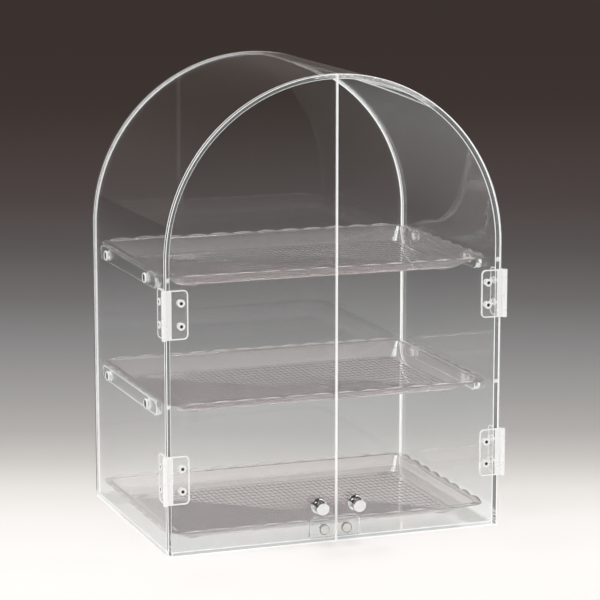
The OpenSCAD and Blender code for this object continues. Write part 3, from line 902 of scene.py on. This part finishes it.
def tray_ring(inset, z, lift, wave, corner=TRAY_CORNER):
    """Points of a rounded rectangle, inset (x, y) mm from the rim. lift and wave are how far the
    scallops rise and reach out."""
    hx, hy = (RIM_HALF[i] - SCALLOP - inset[i] - corner for i in (X, Y))
    points = []
    quarters = ((hx, hy, WAVES_ALONG_X), (hy, hx, WAVES_ALONG_Y)) * 2
    for (along, away, waves), (c, s) in zip(quarters, ((1, 0), (0, 1), (-1, 0), (0, -1))):
        steps = waves * WAVE_STEPS
        local = []
        for i in range(steps):
            swell = abs(math.sin(math.pi * i / WAVE_STEPS))
            local.append((-along + 2 * along * i / steps, -away - corner - wave * swell,
                          z + lift * swell))
        for i in range(CORNER_STEPS):
            angle = math.radians(-90 + 90 * i / CORNER_STEPS)
            local.append((along + corner * math.cos(angle), -away + corner * math.sin(angle), z))
        points += [(x * c - y * s, x * s + y * c, h) for x, y, h in local]
    return points


print("points in a ring", len(tray_ring((0, 0), 0.0, 0.0, 0.0)))

# %% [markdown]
# The woven look of the floor comes from rows of low, tapered pads. A flat grid has its faces inset
# one by one, and the inner faces are then raised and drawn in. The grid becomes the floor.

# %% Node tree for the pads of a floor
def pad_tree():
    """Raises a tapered pad on each face of a grid."""
    tree = bpy.data.node_groups.new("floor_pads", "GeometryNodeTree")
    group_input(tree, "Start", "NodeSocketGeometry")
    group_input(tree, "Columns", "NodeSocketInt", 4)
    group_input(tree, "Rows", "NodeSocketInt", 4)
    for name in ("Length", "Depth", "Pad Share", "Pad Height", "Taper"):
        group_input(tree, name, "NodeSocketFloat", 0.5)
    group_input(tree, "Finish", "NodeSocketMaterial")
    tree.interface.new_socket("Pads", in_out="OUTPUT", socket_type="NodeSocketGeometry")
    given = add(tree, "NodeGroupInput").outputs
    flat = add(tree, "GeometryNodeMeshGrid", {
        "Size X": given["Length"], "Size Y": given["Depth"], "Vertices X": given["Columns"],
        "Vertices Y": given["Rows"]})
    inset = add(tree, "GeometryNodeExtrudeMesh", {
        "Mesh": flat, "Offset Scale": 0.0, "Individual": True}, mode="FACES")
    drawn = add(tree, "GeometryNodeScaleElements", {
        "Geometry": inset, "Selection": inset.outputs["Top"], "Scale": given["Pad Share"]},
        domain="FACE")
    risen = add(tree, "GeometryNodeExtrudeMesh", {
        "Mesh": drawn, "Selection": inset.outputs["Top"],
        "Offset Scale": given["Pad Height"], "Individual": True}, mode="FACES")
    tapered = add(tree, "GeometryNodeScaleElements", {
        "Geometry": risen, "Selection": risen.outputs["Top"], "Scale": given["Taper"]},
        domain="FACE")
    real = add(tree, "GeometryNodeRealizeInstances", {"Geometry": tapered})
    done = add(tree, "GeometryNodeSetMaterial", {"Geometry": real, "Material": given["Finish"]})
    add(tree, "NodeGroupOutput", {"Pads": done})
    return tree


floor_pad_tree = pad_tree()
print("pad tree has", len(floor_pad_tree.nodes), "nodes")

# %% Pads of a floor
PAD_COLUMNS, PAD_ROWS = 49, 14
FLOOR_LENGTH, FLOOR_DEPTH = 275.0, 152.0
PAD_SHARE, PAD_HEIGHT, PAD_TAPER = 0.66, 0.7, 0.62
pads = run_tree("floor_pads", floor_pad_tree, bpy.data.meshes.new("start"), {
    "Length": FLOOR_LENGTH * MM, "Depth": FLOOR_DEPTH * MM, "Columns": PAD_COLUMNS + 1,
    "Rows": PAD_ROWS + 1, "Pad Share": PAD_SHARE, "Pad Height": PAD_HEIGHT * MM, "Taper": PAD_TAPER,
    "Finish": tray_clear})
print(PAD_COLUMNS * PAD_ROWS, "pads, one every", round(FLOOR_LENGTH / PAD_COLUMNS, 1), "by",
      round(FLOOR_DEPTH / PAD_ROWS, 1), "mm")

# %% [markdown]
# The section of a tray is a list of rings, from the lip of the rim over the top, down the leaning
# wall to the floor, and back under it. The front and back walls lean more than the side walls.

# %% Section and feet of a tray
FLOOR_Z = -13.3
# Each row is (inset in x, inset in y, height from the rim's top, lift, wave), in mm.
TRAY_RINGS = [
    (0.3, 0.3, -2.5, 0.0, 1.6), (0.0, 0.0, -2.2, 0.0, 1.6), (0.0, 0.0, -1.6, 1.6, 1.6),
    (0.9, 0.9, -1.6, 1.6, 1.2), (1.5, 1.5, -1.5, 0.0, 0.6), (5.6, 5.6, -1.5, 0.0, 0.0),
    (6.4, 6.5, -1.8, 0.0, 0.0), (7.2, 7.7, -2.7, 0.0, 0.0), (18.4, 30.2, -12.3, 0.0, 0.0),
    (19.6, 31.8, -13.1, 0.0, 0.0), (21.2, 33.6, FLOOR_Z, 0.0, 0.0)]
TRAY_UNDER = [
    (19.2, 31.4, -15.2, 0.0, 0.0), (18.0, 30.0, -15.0, 0.0, 0.0), (17.0, 28.7, -14.2, 0.0, 0.0),
    (6.3, 6.6, -3.2, 0.0, 0.0), (5.6, 5.8, -2.6, 0.0, 0.0), (5.0, 5.0, -2.5, 0.0, 0.0)]
FOOT_AT = (130.4, 77.4)
FOOT_HALF = (5.5, 2.5)
FOOT_TOP, FOOT_LOW = -15.22, -17.2
FOOT_TAPER, FOOT_EASE = 0.82, 0.4


def tray_feet(bm, middle, top):
    """Four small tapered feet under the floor."""
    for sx in (-1, 1):
        for sy in (-1, 1):
            made = bmesh.ops.create_cube(bm, size=1.0)["verts"]
            for vert in made:
                share = 1.0 if vert.co.z > 0 else FOOT_TAPER
                vert.co = Vector((
                    middle.x + (sx * FOOT_AT[0] + vert.co.x * 2 * FOOT_HALF[0] * share) * MM,
                    middle.y + (sy * FOOT_AT[1] + vert.co.y * 2 * FOOT_HALF[1] * share) * MM,
                    top + (FOOT_TOP if vert.co.z > 0 else FOOT_LOW) * MM))
            edges = list({edge for vert in made for edge in vert.link_edges})
            bmesh.ops.bevel(bm, geom=edges, offset=FOOT_EASE * MM, segments=2, affect="EDGES")


wall_top, wall_foot = TRAY_RINGS[-4], TRAY_RINGS[-3]
print("walls lean by", [round(wall_foot[i] - wall_top[i], 1) for i in (X, Y)], "mm")

# %% Skin the trays
def tray_shell(bm, middle, top):
    """Skins the rings over the rim and under the floor, and leaves the floor itself open."""
    rings = []
    for ix, iy, z, lift, wave in TRAY_RINGS + TRAY_UNDER:
        rings.append([bm.verts.new((middle.x + px * MM, middle.y + py * MM, top + pz * MM))
                      for px, py, pz in tray_ring((ix, iy), z, lift, wave)])
    last_upper = len(TRAY_RINGS) - 1
    count = len(rings[0])
    for k, ring in enumerate(rings):
        following = rings[(k + 1) % len(rings)]
        if k == last_upper:
            continue
        for i in range(count):
            j = (i + 1) % count
            bm.faces.new((ring[i], ring[j], following[j], following[i]))
    bm.faces.new(reversed(rings[last_upper + 1]))


def skinned_tray(node):
    """A shell whose open floor is closed with the grid of pads, on four feet."""
    low, high = (Vector(v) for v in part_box(node))
    middle, top = (low + high) / 2, high.z
    bm = bmesh.new()
    tray_shell(bm, middle, top)
    textured = pads.copy()
    textured.transform(Matrix.Translation((middle.x, middle.y, top + FLOOR_Z * MM)))
    bm.from_mesh(textured)
    border = [edge for edge in bm.edges if edge.is_boundary]
    bmesh.ops.triangle_fill(bm, edges=border, use_beauty=True)
    bmesh.ops.recalc_face_normals(bm, faces=bm.faces)
    open_edges = sum(not edge.is_manifold for edge in bm.edges)
    tray_feet(bm, middle, top)
    mesh = closed_mesh(bm, node + "_moulding", [tray_clear])
    finish_mesh(node + "_moulding", mesh, node, [node])
    print(node, len(mesh.polygons), "faces,", open_edges, "open edges, top at", round(top / MM, 1))


for node in ("top_tray", "middle_tray", "bottom_tray"):
    skinned_tray(node)
